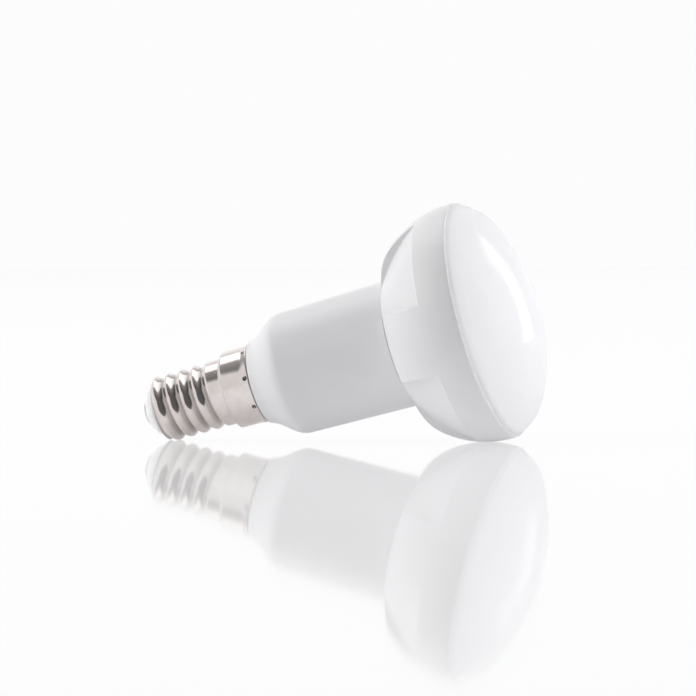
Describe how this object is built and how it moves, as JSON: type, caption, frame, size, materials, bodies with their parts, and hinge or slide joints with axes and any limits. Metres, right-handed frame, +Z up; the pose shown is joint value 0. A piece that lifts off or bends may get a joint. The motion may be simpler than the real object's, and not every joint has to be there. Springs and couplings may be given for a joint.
{
  "type": "reflector bulb",
  "caption": "Reflector lamp with an opal front, a ribbed white bowl and neck, and a small screw cap, lying on its side.",
  "frame": {"origin": "middle of the lamp's footprint, on the floor it lies on", "axes": "+Z up, +X towards the opal front, -Y towards the viewer; the lamp's axis rises towards +X because it lies on its head and on the first thread crest"},
  "size_m": [0.082, 0.048, 0.0473],
  "materials": {
    "cap_metal": "bright nickel plating",
    "milky_plastic": "milky, smooth",
    "contact_metal": "plain",
    "white_plastic": "satin",
    "opal_plastic": "opal, semi-gloss"
  },
  "bodies": {
    "root": {"screw_shell": "cap_metal", "base_insulator": "milky_plastic", "center_contact": "contact_metal", "housing": "white_plastic", "diffuser": "opal_plastic"}
  },
  "joints": []
}
